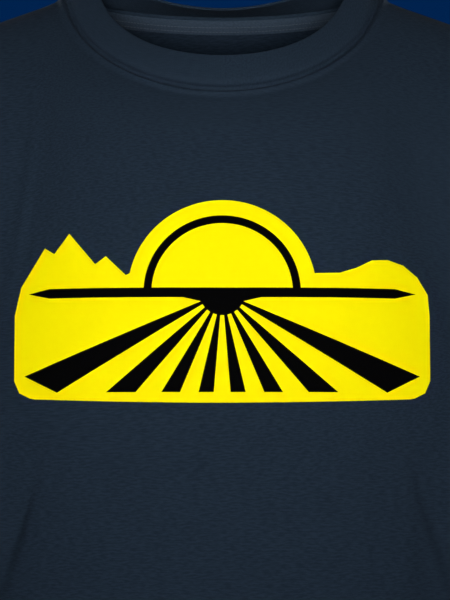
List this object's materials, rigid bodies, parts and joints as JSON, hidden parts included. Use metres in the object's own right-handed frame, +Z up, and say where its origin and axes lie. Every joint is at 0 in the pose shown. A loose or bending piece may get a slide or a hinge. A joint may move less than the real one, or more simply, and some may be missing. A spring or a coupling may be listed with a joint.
{
  "type": "crew-neck t-shirt",
  "caption": "Short-sleeved crew-neck T-shirt in the shape it takes when worn, with a ribbed collar, a taped back neck and a two-colour print on the chest.",
  "frame": {"origin": "midway between the two neck points, where the shoulder seams meet the collar", "axes": "+Z up, -Y the shirt's front, +X the wearer's left"},
  "size_m": [0.693, 0.2603, 0.7271],
  "materials": {
    "jersey": "dark navy heather cotton jersey",
    "rib": "dark navy fine rib knit",
    "tape": "slate blue woven tape",
    "yellow_ink": "flat yellow screen-print ink",
    "black_ink": "flat black screen-print ink"
  },
  "bodies": {
    "root": {"front_panel": "jersey", "back_panel": "jersey", "sleeve_left": "jersey", "sleeve_right": "jersey", "neck_rib": "rib", "neck_tape": "tape", "print_yellow": "yellow_ink", "print_black": "black_ink"}
  },
  "joints": []
}
